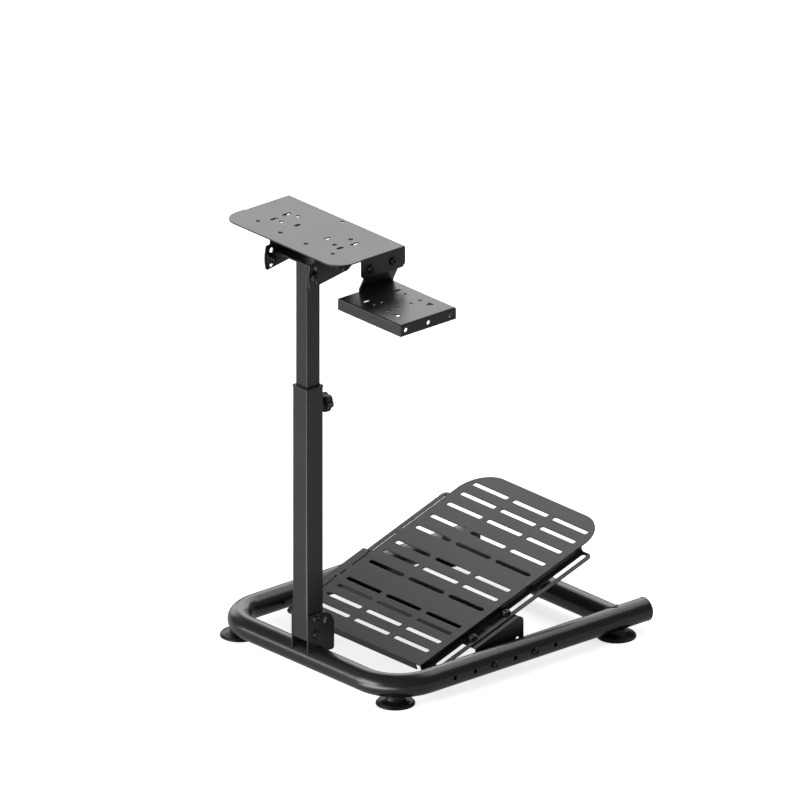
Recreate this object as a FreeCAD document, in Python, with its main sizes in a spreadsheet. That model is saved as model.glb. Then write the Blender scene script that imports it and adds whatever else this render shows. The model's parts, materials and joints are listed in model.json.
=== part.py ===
import FreeCAD, Part
import math
import os
import Sketcher

# Racing wheel stand: a U-shaped floor frame of round tube carries a telescoping square mast,
# a tilting wheel deck with a side tray for the shifter, and a sloping slotted pedal deck.
# All lengths are millimetres and all angles are degrees.
# +X points to the driver's right, +Y points forwards from the driver, +Z points up.
# The sizes below are measured from the frame's middle plane, from the mast's axis and from the
# floor; every piece is then shifted so that the origin is the middle of the stand's footprint.

SIZES = {
    # Floor frame of round tube
    "tube_diameter": 45.0,
    "tube_wall": 2.0,
    "rail_spacing": 482.0,
    "rail_length": 609.0,
    "rail_bend_radius": 80.0,
    "rail_hole_first": 129.5,
    "rail_hole_pitch": 48.8,
    "cross_tube_place": 541.0,
    "weld_setback": 3.0,
    "cap_flange": 2.0,
    "cap_plug_depth": 22.0,
    "cap_overhang": 0.4,
    "cap_plug_round": 1.5,
    "cap_round": 1.2,
    # Levelling feet
    "foot_height": 12.8,
    "foot_diameter": 73.0,
    "foot_rim": 3.6,
    "foot_neck_diameter": 35.0,
    "foot_neck_rise": 9.5,
    "foot_saddle": 5.5,
    "foot_rim_round": 2.4,
    "foot_neck_round": 6.0,
    # Ears that hold the mast
    "ear_thickness": 3.0,
    "ear_front": 20.0,
    "ear_back": 44.0,
    "ear_bottom": 42.7,
    "ear_top": 122.0,
    "ear_front_radius": 5.0,
    "ear_back_radius": 30.0,
    "fold_pivot_height": 83.0,
    "fold_lock_radius": 31.5,
    "fold_hole_angle": 45.0,
    "fold_spare_diameter": 11.0,
    # Mast
    "mast_width": 40.0,
    "mast_wall": 2.0,
    "mast_corner": 2.3,
    "mast_bottom": 73.0,
    "mast_top": 567.5,
    "inner_width": 32.0,
    "inner_wall": 2.0,
    "inner_corner": 2.1,
    "inner_bottom": 330.0,
    "inner_top": 822.0,
    "collar_proud": 1.0,
    "collar_height": 3.5,
    "collar_skirt": 32.0,
    "collar_corner": 3.0,
    "slide_clearance": 0.3,
    # Clamp knob
    "knob_drop": 42.2,
    "knob_diameter": 36.8,
    "knob_thickness": 15.0,
    "knob_back": 34.0,
    "knob_hub_diameter": 20.0,
    "knob_scallop_radius": 9.0,
    "knob_scallop_depth": 4.0,
    "knob_scallop_angle": 79.0,
    "knob_round": 3.0,
    "knob_hub_round": 1.5,
    "knob_nut_gap": 1.0,
    "stud_diameter": 8.0,
    "clamp_nut_width": 19.0,
    "clamp_nut_height": 9.0,
    # Bolts
    "bolt_diameter": 8.0,
    "bolt_clearance": 0.3,
    "bolt_head_diameter": 16.0,
    "bolt_head_height": 5.0,
    "bolt_head_round": 2.4,
    "bolt_socket_width": 5.0,
    "bolt_socket_depth": 2.6,
    "bolt_nut_width": 13.0,
    "bolt_nut_height": 6.5,
    "bolt_end_proud": 2.0,
    # Inside radius of every fold in sheet metal
    "fold_inside": 0.5,
    # Yoke on the mast and tilt pivot
    "yoke_thickness": 3.0,
    "yoke_half_width": 59.2,
    "yoke_web_reach": 28.0,
    "yoke_arm_front": 48.0,
    "yoke_arm_back": 46.0,
    "yoke_arm_depth": 21.0,
    "yoke_arm_round": 8.0,
    "tilt_pivot_place": 35.0,
    "tilt_pivot_drop": 7.0,
    "tilt_slot_radius": 73.0,
    "tilt_slot_swing": 12.0,
    "tilt_gap": 0.3,
    # Side plates of the wheel deck
    "side_plate_thickness": 3.0,
    "side_plate_rise": 53.9,
    "side_plate_front": 74.0,
    "side_plate_back": 21.5,
    "side_plate_flange": 12.0,
    "side_corner": 3.0,
    "side_lug_margin": 15.0,
    "side_lug_bulge": 0.6,
    "side_lug_inset": 4.0,
    "side_lug_round": 4.0,
    "side_lug_rise": 25.5,
    "side_lug_drop": 23.0,
    "side_tail_drop": 8.5,
    "side_tail_round": 12.0,
    "side_tail_rise": 1.0,
    "side_back_round": 6.0,
    # Wheel deck
    "deck_thickness": 2.5,
    "deck_width": 327.6,
    "deck_front": 70.4,
    "deck_back": 94.4,
    "deck_front_radius": 38.0,
    "deck_flange_start": 12.0,
    "deck_flange_depth": 39.5,
    "deck_flange_chamfer": 6.5,
    "deck_hole_across": 74.0,
    "deck_hole_front": 0.5,
    "deck_hole_back": 40.0,
    "deck_hole_diameter": 9.0,
    "front_hole_across": 104.5,
    "front_hole_place": 30.0,
    "front_hole_diameter": 8.4,
    "rear_hole_place": 84.0,
    "rear_hole_diameter": 8.0,
    "deck_slot_width": 7.5,
    # Shifter bracket and tray
    "bracket_thickness": 3.0,
    "bracket_front": 3.5,
    "bracket_back": 78.5,
    "bracket_top_gap": 7.0,
    "bracket_upper_bend": 1.0,
    "bracket_lower_bend": 3.0,
    "bracket_bend_shift": 0.7,
    "bracket_bottom_gap": 1.0,
    "bracket_bolt_front": 11.2,
    "bracket_bolt_back": 64.7,
    "bracket_bolt_drop": 22.0,
    "tray_crank": 12.2,
    "tray_width": 175.4,
    "tray_front": 57.0,
    "tray_back": 78.0,
    "tray_drop": 66.7,
    "tray_depth": 23.2,
    "tray_thickness": 2.5,
    "tray_hole_drop": 12.7,
    "tray_side_hole_front": 43.6,
    "tray_middle": 11.5,
    "tray_outer_row": 38.0,
    "tray_slot_place": 44.5,
    "tray_slot_length": 16.0,
    "tray_slot_width": 7.0,
    "tray_hole_diameter": 6.8,
    "tray_near_hole": 66.5,
    "tray_near_row": 20.0,
    "tray_far_hole": 107.5,
    "tray_far_row": 16.0,
    "tray_window_place": 133.5,
    "tray_window_half": 8.0,
    "tray_window_tip": 30.0,
    "tray_window_base": 44.0,
    "tray_window_round": 1.5,
    # Pedal deck, measured along its slope from its lower edge
    "pedal_angle": 18.57,
    "pedal_front": 118.5,
    "pedal_front_height": 36.5,
    "pedal_thickness": 2.0,
    "pedal_width": 356.0,
    "pedal_length": 483.8,
    "pedal_top_radius": 63.0,
    "pedal_flange_drop": 12.0,
    "pedal_lip_width": 28.0,
    "pedal_lip_end": 413.0,
    "pedal_lip_round": 12.0,
    "pedal_lip_overlap": 8.0,
    "pedal_nose_drop": 14.8,
    "pedal_nose_width": 326.0,
    "pedal_slot_width": 9.5,
    "pedal_slot_length": 95.8,
    "pedal_slot_pitch": 110.9,
    "lip_slot_width": 12.0,
    "lip_slot_inset": 12.3,
    "lip_bolt_low": 119.8,
    "lip_bolt_high": 205.2,
    # Brackets that hold the pedal deck
    "hanger_thickness": 3.0,
    "hanger_front": 219.0,
    "hanger_back": 334.5,
    "hanger_bottom": 20.0,
    "hanger_corner": 8.0,
    "hanger_top_round": 10.0,
    "hanger_riser_gap": 2.0,
    "hanger_hole_place": 320.0,
    "hanger_hole_height": 48.0,
    "hanger_hole_diameter": 9.0,
}

# Distances up the slope of the pedal deck's twelve rows of slots.
PEDAL_ROWS = (39.4, 70.0, 97.4, 121.4, 179.4, 215.4, 247.4, 299.4, 337.4, 379.4, 414.4, 446.4)

# Lower and upper ends, up the slope, of the slots in each lip of the pedal deck.
LIP_SLOTS = ((26.9, 150.3), (160.9, 280.1), (288.5, 407.0))

# Slots on both sides of the wheel deck's middle: place across, place forwards, length and way.
DECK_SLOTS = (
    (92.5, -2.0, 16.0, "y"),
    (95.0, 31.0, 20.0, "y"),
    (42.0, 11.0, 14.0, "y"),
    (35.7, -35.7, 10.0, "x"),
)

RAIL_HOLE_COUNT = 6
HANGER_HOLES = (2, 4)
KNOB_LOBES = 6
SIDES = (("left", -1), ("right", 1))


class Size:
    """A number together with the sheet formula that gives it."""

    def __init__(self, text, value):
        self.text = text
        self.value = value

    def __add__(self, other):
        other = as_size(other)
        return Size("(%s + %s)" % (self.text, other.text), self.value + other.value)

    def __sub__(self, other):
        other = as_size(other)
        return Size("(%s - %s)" % (self.text, other.text), self.value - other.value)

    def __mul__(self, other):
        other = as_size(other)
        return Size("(%s * %s)" % (self.text, other.text), self.value * other.value)

    def __truediv__(self, other):
        other = as_size(other)
        return Size("(%s / %s)" % (self.text, other.text), self.value / other.value)

    def __neg__(self):
        return Size("(0 - %s)" % self.text, -self.value)

    def __radd__(self, other):
        return as_size(other) + self

    def __rsub__(self, other):
        return as_size(other) - self

    def __rmul__(self, other):
        return as_size(other) * self


def as_size(item):
    """Gives a plain number the same form as a sheet size."""
    if isinstance(item, Size):
        return item
    return Size("(%r)" % float(item), float(item))


def sine(angle):
    return Size("sin(%s)" % angle.text, math.sin(math.radians(angle.value)))


def cosine(angle):
    return Size("cos(%s)" % angle.text, math.cos(math.radians(angle.value)))


doc = FreeCAD.newDocument("wheel_stand")
sheet = doc.addObject("Spreadsheet::Sheet", "Sizes")


class Sheet:
    """Writes the driving dimensions into the sheet and hands each one out by its name."""

    def __init__(self, sizes):
        for row, (name, number) in enumerate(sizes.items(), start=1):
            sheet.set("A%d" % row, name)
            sheet.set("B%d" % row, str(number))
            sheet.setAlias("B%d" % row, name)
            setattr(self, name, Size("Sizes.%s" % name, number))


S = Sheet(SIZES)
doc.recompute()

# Places that several pieces share
TUBE_RADIUS = S.tube_diameter / 2
TUBE_HEIGHT = S.foot_height + TUBE_RADIUS
RAIL = S.rail_spacing / 2
BOLT_RADIUS = S.bolt_diameter / 2
BOLT_HOLE = BOLT_RADIUS + S.bolt_clearance
MAST_HALF = S.mast_width / 2
INNER_HALF = S.inner_width / 2
KNOB_HEIGHT = S.mast_top - S.knob_drop
TILT_PIVOT = S.inner_top - S.tilt_pivot_drop
DECK_TOP = TILT_PIVOT + S.side_plate_rise + S.deck_thickness
DECK_HALF = S.deck_width / 2
TRAY_TOP = DECK_TOP - S.tray_drop
TRAY_NEAR = DECK_HALF - S.deck_thickness - S.tray_crank
PEDAL_HALF = S.pedal_width / 2
LIP_TOP = -S.pedal_flange_drop
LIP_OUTER = PEDAL_HALF + S.pedal_lip_width
LIP_BOLT = PEDAL_HALF + S.lip_slot_inset
HANGER_TOP = LIP_TOP - S.pedal_thickness - S.slide_clearance
SHIFT_X = (TRAY_NEAR + S.tray_width - RAIL - S.foot_diameter / 2) / 2
SHIFT_Y = (S.rail_length + S.cap_flange - S.deck_front) / 2

PLANES = {"XY": "XY_Plane", "XZ": "XZ_Plane", "YZ": "YZ_Plane"}

# How near two lengths are when they count as one, and how far a cut runs past a face
NEAR = 0.01
PAST = 1.0

PIECES = []


def bind(item, name, size):
    """Ties one property of an object to its sheet formula."""
    item.setExpression(name, as_size(size).text)


def place(item, x, y, z, tilt=None):
    """Places an object at a point of the stand, tilted about X where an angle is given."""
    if tilt is not None:
        item.Placement = FreeCAD.Placement(
            FreeCAD.Vector(), FreeCAD.Rotation(FreeCAD.Vector(1, 0, 0), tilt.value)
        )
        bind(item, "Placement.Rotation.Angle", tilt)
    bind(item, "Placement.Base.x", as_size(x) - SHIFT_X)
    bind(item, "Placement.Base.y", as_size(y) - SHIFT_Y)
    bind(item, "Placement.Base.z", as_size(z))


def keep(item, label):
    """Names an object and lists it among the finished pieces."""
    item.Label = label
    PIECES.append(item)
    return item


def new_body(name):
    return doc.addObject("PartDesign::Body", name + "_body")


def new_sketch(body, name, plane, offset):
    """Adds a sketch on one of the body's own planes, moved along that plane's normal."""
    sketch = body.newObject("Sketcher::SketchObject", name + "_sketch")
    for item in body.Origin.OriginFeatures:
        if item.Role == PLANES[plane]:
            sketch.AttachmentSupport = [(item, "")]
    sketch.MapMode = "FlatFace"
    bind(sketch, "AttachmentOffset.Base.z", offset)
    return sketch


def fix_point(sketch, geometry, end, x, y):
    """Holds one point of a sketch at the distances that the sheet gives."""
    for kind, size in (("DistanceX", as_size(x)), ("DistanceY", as_size(y))):
        index = sketch.addConstraint(Sketcher.Constraint(kind, -1, 1, geometry, end, size.value))
        sketch.setExpression("Constraints[%d]" % index, size.text)


def fix_radius(sketch, geometry, radius):
    index = sketch.addConstraint(Sketcher.Constraint("Radius", geometry, as_size(radius).value))
    sketch.setExpression("Constraints[%d]" % index, as_size(radius).text)


def circle(x, y, radius):
    """A round hole or boss."""

    def draw(sketch):
        centre = FreeCAD.Vector(as_size(x).value, as_size(y).value, 0)
        shape = Part.Circle(centre, FreeCAD.Vector(0, 0, 1), as_size(radius).value)
        index = sketch.addGeometry(shape, False)
        fix_point(sketch, index, 3, x, y)
        fix_radius(sketch, index, radius)

    return draw


def angle_from(centre, point):
    return math.atan2(point.y - centre.y, point.x - centre.x)


def chain(corners, closed=True):
    """Lines through corners, each given as x, y and, where it is rounded, a radius."""

    def draw(sketch):
        count = len(corners)
        points = []
        for corner in corners:
            points.append(FreeCAD.Vector(as_size(corner[0]).value, as_size(corner[1]).value, 0))
        arrive = list(points)
        leave = list(points)
        arcs = {}
        for index, corner in enumerate(corners):
            if len(corner) < 3:
                continue
            radius = as_size(corner[2]).value
            back = (points[index - 1] - points[index]).normalize()
            ahead = (points[(index + 1) % count] - points[index]).normalize()
            half = back.getAngle(ahead) / 2
            reach = radius / math.tan(half)
            arrive[index] = points[index] + back * reach
            leave[index] = points[index] + ahead * reach
            middle = (back + ahead).normalize()
            centre = points[index] + middle * (radius / math.sin(half))
            start = angle_from(centre, arrive[index])
            stop = angle_from(centre, leave[index])
            round_edge = Part.Circle(centre, FreeCAD.Vector(0, 0, 1), radius)
            if back.cross(ahead).z > 0:
                arcs[index] = (Part.ArcOfCircle(round_edge, stop, start), 2)
            else:
                arcs[index] = (Part.ArcOfCircle(round_edge, start, stop), 1)
        lines = []
        for index in range(count if closed else count - 1):
            after = (index + 1) % count
            lines.append(sketch.addGeometry(Part.LineSegment(leave[index], arrive[after]), False))
        for index, corner in enumerate(corners):
            before = lines[index - 1] if (closed or index > 0) else None
            following = lines[index] if (closed or index < count - 1) else None
            if index in arcs:
                shape, entry = arcs[index]
                arc = sketch.addGeometry(shape, False)
                knot = sketch.addGeometry(Part.Point(points[index]), True)
                sketch.addConstraint([
                    Sketcher.Constraint("Tangent", before, 2, arc, entry),
                    Sketcher.Constraint("Tangent", arc, 3 - entry, following, 1),
                    Sketcher.Constraint("PointOnObject", knot, 1, before),
                    Sketcher.Constraint("PointOnObject", knot, 1, following),
                ])
                fix_point(sketch, knot, 1, corner[0], corner[1])
                fix_radius(sketch, arc, corner[2])
            elif before is None:
                fix_point(sketch, following, 1, corner[0], corner[1])
            elif following is None:
                fix_point(sketch, before, 2, corner[0], corner[1])
            else:
                sketch.addConstraint(Sketcher.Constraint("Coincident", before, 2, following, 1))
                fix_point(sketch, following, 1, corner[0], corner[1])

    return draw


def rectangle(low_x, low_y, high_x, high_y, radius=None):
    """A closed rectangle, with rounded corners where a radius is given."""
    corners = [(low_x, low_y), (high_x, low_y), (high_x, high_y), (low_x, high_y)]
    if radius is not None:
        corners = [corner + (radius,) for corner in corners]
    return chain(corners)


def slot(x, y, length, width, along="x"):
    """A slot with round ends, centred on a point."""
    radius = as_size(width) / 2
    reach = (as_size(length) - width) / 2
    x = as_size(x)
    y = as_size(y)

    def draw(sketch):
        if along == "x":
            ends = ((x - reach, y), (x + reach, y))
            turn = math.pi / 2
        else:
            ends = ((x, y - reach), (x, y + reach))
            turn = math.pi
        size = radius.value
        up = FreeCAD.Vector(0, 0, 1)
        first = FreeCAD.Vector(ends[0][0].value, ends[0][1].value, 0)
        last = FreeCAD.Vector(ends[1][0].value, ends[1][1].value, 0)
        half_turn = turn + math.pi
        low_end = Part.ArcOfCircle(Part.Circle(first, up, size), turn, half_turn)
        high_end = Part.ArcOfCircle(Part.Circle(last, up, size), half_turn, half_turn + math.pi)
        low = sketch.addGeometry(low_end, False)
        high = sketch.addGeometry(high_end, False)
        side = FreeCAD.Vector(math.cos(turn) * size, math.sin(turn) * size, 0)
        near = sketch.addGeometry(Part.LineSegment(first - side, last - side), False)
        far = sketch.addGeometry(Part.LineSegment(last + side, first + side), False)
        sketch.addConstraint([
            Sketcher.Constraint("Tangent", low, 2, near, 1),
            Sketcher.Constraint("Tangent", near, 2, high, 1),
            Sketcher.Constraint("Tangent", high, 2, far, 1),
            Sketcher.Constraint("Tangent", far, 2, low, 1),
            Sketcher.Constraint("Equal", low, high),
        ])
        fix_point(sketch, low, 3, *ends[0])
        fix_point(sketch, high, 3, *ends[1])
        fix_radius(sketch, low, radius)

    return draw


def hexagon(x, y, across):
    """A hexagon given by the distance across its flats."""
    corner = as_size(across) / 2 / math.cos(math.pi / 6)
    x = as_size(x)
    y = as_size(y)
    corners = []
    for step in range(6):
        turn = math.pi / 3 * step + math.pi / 6
        corners.append((x + corner * math.cos(turn), y + corner * math.sin(turn)))
    return chain(corners)


def extrude(body, name, kind, plane, low, high, shapes):
    """Adds or cuts a prism of the drawn shapes between two distances along the plane's axis."""
    low = as_size(low)
    high = as_size(high)
    adding = kind == "PartDesign::Pad"
    if plane == "XZ":
        offset = -high if adding else -low
    else:
        offset = low if adding else high
    sketch = new_sketch(body, name, plane, offset)
    for draw in shapes:
        draw(sketch)
    feature = body.newObject(kind, name)
    feature.Profile = sketch
    bind(feature, "Length", high - low)
    return feature


def pad(body, name, plane, low, high, shapes):
    return extrude(body, name, "PartDesign::Pad", plane, low, high, shapes)


def pocket(body, name, plane, low, high, shapes):
    return extrude(body, name, "PartDesign::Pocket", plane, low, high, shapes)


def revolve(body, name, plane, axis, shapes, kind="PartDesign::Revolution", swing=None):
    """Turns the drawn shapes about one axis of their sketch."""
    sketch = new_sketch(body, name, plane, 0)
    for draw in shapes:
        draw(sketch)
    feature = body.newObject(kind, name)
    feature.Profile = sketch
    feature.ReferenceAxis = (sketch, [axis])
    if swing is None:
        feature.Angle = 360
    else:
        feature.Midplane = True
        bind(feature, "Angle", swing)
    return feature


def soften(body, name, radius, choose):
    """Rounds the edges of the body that a test picks out."""
    doc.recompute()
    base = body.Tip
    edges = []
    for index, edge in enumerate(base.Shape.Edges, start=1):
        if choose(edge):
            edges.append("Edge%d" % index)
    fillet = body.newObject("PartDesign::Fillet", name)
    fillet.Base = (base, edges)
    bind(fillet, "Radius", radius)
    return fillet


def in_order(first, second):
    return (second, first) if first.value > second.value else (first, second)


def bolt_body(label, plane, centres, head_face, nut_face, flip=1):
    """Bolts side by side: domed socket heads at one face of what they hold, nuts at the other."""
    body = new_body(label)
    head_face = as_size(head_face)
    nut_face = as_size(nut_face)
    crown = head_face + flip * S.bolt_head_height
    end = nut_face - flip * (S.bolt_nut_height + S.bolt_end_proud)
    shanks = [circle(x, y, BOLT_RADIUS) for x, y in centres]
    pad(body, label + "_shank", plane, *in_order(head_face, end), shanks)
    heads = [circle(x, y, S.bolt_head_diameter / 2) for x, y in centres]
    pad(body, label + "_head", plane, *in_order(head_face, crown), heads)
    nuts = [hexagon(x, y, S.bolt_nut_width) for x, y in centres]
    pad(body, label + "_nut", plane, *in_order(nut_face, nut_face - flip * S.bolt_nut_height), nuts)

    def is_crown_rim(edge):
        low, high = {"YZ": (edge.BoundBox.XMin, edge.BoundBox.XMax),
                     "XY": (edge.BoundBox.ZMin, edge.BoundBox.ZMax)}[plane]
        return abs(low - crown.value) < NEAR and abs(high - crown.value) < NEAR

    soften(body, label + "_dome", S.bolt_head_round, is_crown_rim)
    sockets = [hexagon(x, y, S.bolt_socket_width) for x, y in centres]
    socket_floor = crown - flip * S.bolt_socket_depth
    socket_mouth = crown + flip * S.bolt_clearance
    pocket(body, label + "_socket", plane, *in_order(socket_floor, socket_mouth), sockets)
    return keep(body, label)


def on_slope(y, z):
    """Turns a place beside the stand into distances up and off the pedal deck's slope."""
    ahead = as_size(y) - S.pedal_front
    above = as_size(z) - S.pedal_front_height
    up = ahead * cosine(S.pedal_angle) + above * sine(S.pedal_angle)
    off = above * cosine(S.pedal_angle) - ahead * sine(S.pedal_angle)
    return up, off


def up_slope_to(y, off):
    """The distance up the slope at which a place beside the stand lies, at a height off the slope."""
    ahead = as_size(y) - S.pedal_front + off * sine(S.pedal_angle)
    return ahead / cosine(S.pedal_angle)


def on_pedal_frame(item):
    """Places an object in the pedal deck's sloping frame."""
    place(item, 0, S.pedal_front, S.pedal_front_height, S.pedal_angle)


# Floor frame

def rail_hole_places():
    """Distances from the front tube of the holes along each side tube."""
    return [S.rail_hole_first + S.rail_hole_pitch * step for step in range(RAIL_HOLE_COUNT)]


def bent_tube(name, radii):
    """The U of round tube, swept along its centre line with one or two circles."""
    body = new_body(name)
    path = new_sketch(body, name + "_path", "XY", TUBE_HEIGHT)
    chain([
        (-RAIL, S.rail_length),
        (-RAIL, 0, S.rail_bend_radius),
        (RAIL, 0, S.rail_bend_radius),
        (RAIL, S.rail_length),
    ], closed=False)(path)
    section = new_sketch(body, name + "_section", "XZ", -S.rail_length)
    for radius in radii:
        circle(-RAIL, TUBE_HEIGHT, radius)(section)
    doc.recompute()
    pipe = body.newObject("PartDesign::AdditivePipe", name + "_pipe")
    pipe.Profile = section
    pipe.Spine = (path, ["Edge%d" % (index + 1) for index in range(len(path.Shape.Edges))])
    place(body, 0, 0, 0)
    return body


def base_tube():
    body = bent_tube("base_tube", [TUBE_RADIUS, TUBE_RADIUS - S.tube_wall])
    holes = [circle(y, TUBE_HEIGHT, BOLT_HOLE) for y in rail_hole_places()]
    pocket(body, "rail_holes", "YZ", -RAIL * 2, RAIL * 2, holes)
    keep(body, "base_tube")


def rear_cross_tube():
    body = new_body("rear_cross_tube")
    reach = RAIL - S.weld_setback
    section = [
        circle(S.cross_tube_place, TUBE_HEIGHT, TUBE_RADIUS),
        circle(S.cross_tube_place, TUBE_HEIGHT, TUBE_RADIUS - S.tube_wall),
    ]
    pad(body, "cross_tube", "YZ", -reach, reach, section)
    saddles = [circle(side * RAIL, TUBE_HEIGHT, TUBE_RADIUS) for _, side in SIDES]
    pocket(body, "cross_saddles", "XZ", S.cross_tube_place - S.tube_diameter,
           S.cross_tube_place + S.tube_diameter, saddles)
    place(body, 0, 0, 0)
    keep(body, "rear_cross_tube")


def end_caps():
    flange = TUBE_RADIUS + S.cap_overhang
    plug = TUBE_RADIUS - S.tube_wall - S.bolt_clearance
    for name, side in SIDES:
        body = new_body("end_cap_" + name)
        profile = chain([
            (-S.cap_plug_depth, 0),
            (-S.cap_plug_depth, plug, S.cap_plug_round),
            (0, plug),
            (0, flange),
            (S.cap_flange, flange, S.cap_round),
            (S.cap_flange, 0),
        ])
        revolve(body, "end_cap_turned_" + name, "YZ", "H_Axis", [profile])
        place(body, side * RAIL, S.rail_length, TUBE_HEIGHT)
        keep(body, "end_cap_" + name)


def frame_envelope():
    """The outside of the U tube and the rear cross tube together, which the feet are cut to."""
    cross = doc.addObject("Part::Cylinder", "cross_envelope")
    bind(cross, "Radius", TUBE_RADIUS)
    bind(cross, "Height", RAIL * 2)
    cross.Placement.Rotation = FreeCAD.Rotation(FreeCAD.Vector(0, 1, 0), 90)
    place(cross, -RAIL, S.cross_tube_place, TUBE_HEIGHT)
    whole = doc.addObject("Part::MultiFuse", "frame_envelope")
    whole.Shapes = [bent_tube("tube_envelope", [TUBE_RADIUS]), cross]
    return whole


def feet():
    """Four round rubber feet, each with a saddle that takes the tube above it."""
    bend = S.rail_bend_radius
    inset = bend * (1 - math.sqrt(0.5))
    spots = []
    for name, side in SIDES:
        spots.append(("foot_front_" + name, side * (RAIL - inset), inset))
        spots.append(("foot_rear_" + name, side * RAIL, S.cross_tube_place))
    rubber = S.foot_diameter / 2
    neck = S.foot_neck_diameter / 2
    top = S.foot_height + S.foot_saddle
    envelope = frame_envelope()
    for name, x, y in spots:
        body = new_body(name)
        profile = chain([
            (0, 0),
            (rubber, 0),
            (rubber, S.foot_rim, S.foot_rim_round),
            (neck, S.foot_neck_rise, S.foot_neck_round),
            (neck, top),
            (0, top),
        ])
        revolve(body, name + "_turned", "XZ", "V_Axis", [profile])
        place(body, x, y, 0)
        seated = doc.addObject("Part::Cut", name + "_seated")
        seated.Base = body
        seated.Tool = envelope
        keep(seated, name)


def fold_holes():
    """Pivot, lock and spare holes in the mast's ears, as pairs of forward and upward places."""
    angle = S.fold_hole_angle
    lock = S.fold_lock_radius
    return {
        "pivot": (as_size(0), S.fold_pivot_height),
        "lock": (as_size(0), S.fold_pivot_height + lock),
        "spare": (lock * sine(angle), S.fold_pivot_height + lock * cosine(angle)),
    }


def mast_ears():
    for name, side in SIDES:
        body = new_body("mast_ear_" + name)
        inner = side * MAST_HALF
        outer = side * (MAST_HALF + S.ear_thickness)
        low, high = (inner, outer) if side > 0 else (outer, inner)
        plate = chain([
            (-S.ear_front, S.ear_bottom),
            (S.ear_back, S.ear_bottom, S.ear_front_radius),
            (S.ear_back, S.ear_top, S.ear_back_radius),
            (-S.ear_front, S.ear_top, S.ear_front_radius),
        ])
        holes = []
        for job, (y, z) in fold_holes().items():
            holes.append(circle(y, z, S.fold_spare_diameter / 2 if job == "spare" else BOLT_HOLE))
        pad(body, "ear_plate_" + name, "YZ", low, high, [plate] + holes)
        pocket(body, "ear_saddle_" + name, "YZ", low - PAST, high + PAST,
               [circle(0, TUBE_HEIGHT, TUBE_RADIUS)])
        place(body, 0, 0, 0)
        keep(body, "mast_ear_" + name)


def fold_bolts():
    for name in ("pivot", "lock"):
        face = MAST_HALF + S.ear_thickness
        body = bolt_body("mast_%s_bolt" % name, "YZ", [fold_holes()[name]], face, -face)
        place(body, 0, 0, 0)


# Mast

def square(half, corner):
    return rectangle(-half, -half, half, half, corner)


def lower_mast():
    body = new_body("lower_mast")
    inner = MAST_HALF - S.mast_wall
    pad(body, "lower_mast_tube", "XY", S.mast_bottom, S.mast_top,
        [square(MAST_HALF, S.mast_corner), square(inner, S.mast_corner - S.mast_wall / 2)])
    holes = [circle(*fold_holes()[name], BOLT_HOLE) for name in ("pivot", "lock")]
    pocket(body, "lower_mast_bolt_holes", "YZ", -S.mast_width, S.mast_width, holes)
    pocket(body, "lower_mast_stud_hole", "XZ", 0, S.mast_width,
           [circle(0, KNOB_HEIGHT, S.stud_diameter / 2 + S.bolt_clearance)])
    place(body, 0, 0, 0)
    keep(body, "lower_mast")


def mast_collar():
    body = new_body("mast_collar")
    bore = square(INNER_HALF + S.slide_clearance, S.inner_corner)
    pad(body, "collar_skirt_tube", "XY", S.mast_top - S.collar_skirt, S.mast_top,
        [square(MAST_HALF - S.mast_wall, S.mast_corner - S.mast_wall / 2), bore])
    pad(body, "collar_flange", "XY", S.mast_top, S.mast_top + S.collar_height,
        [square(MAST_HALF + S.collar_proud, S.collar_corner), bore])
    place(body, 0, 0, 0)
    keep(body, "mast_collar")


def upper_mast():
    body = new_body("upper_mast")
    bore = square(INNER_HALF - S.inner_wall, S.inner_corner - S.inner_wall / 2)
    pad(body, "upper_mast_tube", "XY", S.inner_bottom, S.inner_top,
        [square(INNER_HALF, S.inner_corner), bore])
    place(body, 0, 0, 0)
    keep(body, "upper_mast")


def clamp():
    """A nut welded to the mast, the threaded stud through it and the lobed knob on the stud."""
    stud = S.stud_diameter / 2
    nut = new_body("clamp_nut")
    pad(nut, "clamp_nut_block", "XZ", MAST_HALF, MAST_HALF + S.clamp_nut_height,
        [hexagon(0, 0, S.clamp_nut_width), circle(0, 0, stud + S.bolt_clearance)])
    place(nut, 0, 0, KNOB_HEIGHT)
    keep(nut, "clamp_nut")

    rod = new_body("clamp_stud")
    rod_end = S.knob_back + S.knob_thickness / 2
    pad(rod, "clamp_stud_rod", "XZ", INNER_HALF + S.slide_clearance, rod_end, [circle(0, 0, stud)])
    place(rod, 0, 0, KNOB_HEIGHT)
    keep(rod, "clamp_stud")

    knob = new_body("clamp_knob")
    hub = S.knob_hub_diameter / 2
    rim = S.knob_diameter / 2
    hub_face = MAST_HALF + S.clamp_nut_height + S.knob_nut_gap
    front = S.knob_back + S.knob_thickness
    profile = chain([
        (hub_face, stud),
        (hub_face, hub, S.knob_hub_round),
        (S.knob_back, hub),
        (S.knob_back, rim, S.knob_round),
        (front, rim, S.knob_round),
        (front, 0),
        (rod_end, 0),
        (rod_end, stud),
    ])
    revolve(knob, "knob_turned", "YZ", "H_Axis", [profile])
    reach = rim + S.knob_scallop_radius - S.knob_scallop_depth
    across = reach * cosine(S.knob_scallop_angle)
    rise = reach * sine(S.knob_scallop_angle)
    scallop = pocket(knob, "knob_scallop", "XZ", S.knob_back - PAST, front + PAST,
                     [circle(across, rise, S.knob_scallop_radius)])
    doc.recompute()
    lobes = knob.newObject("PartDesign::PolarPattern", "knob_lobes")
    lobes.Originals = [scallop]
    for item in knob.Origin.OriginFeatures:
        if item.Role == "Y_Axis":
            lobes.Axis = (item, [""])
    lobes.Angle = 360
    lobes.Occurrences = KNOB_LOBES
    knob.Tip = lobes
    place(knob, 0, 0, KNOB_HEIGHT)
    keep(knob, "clamp_knob")


# Tilting head

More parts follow.
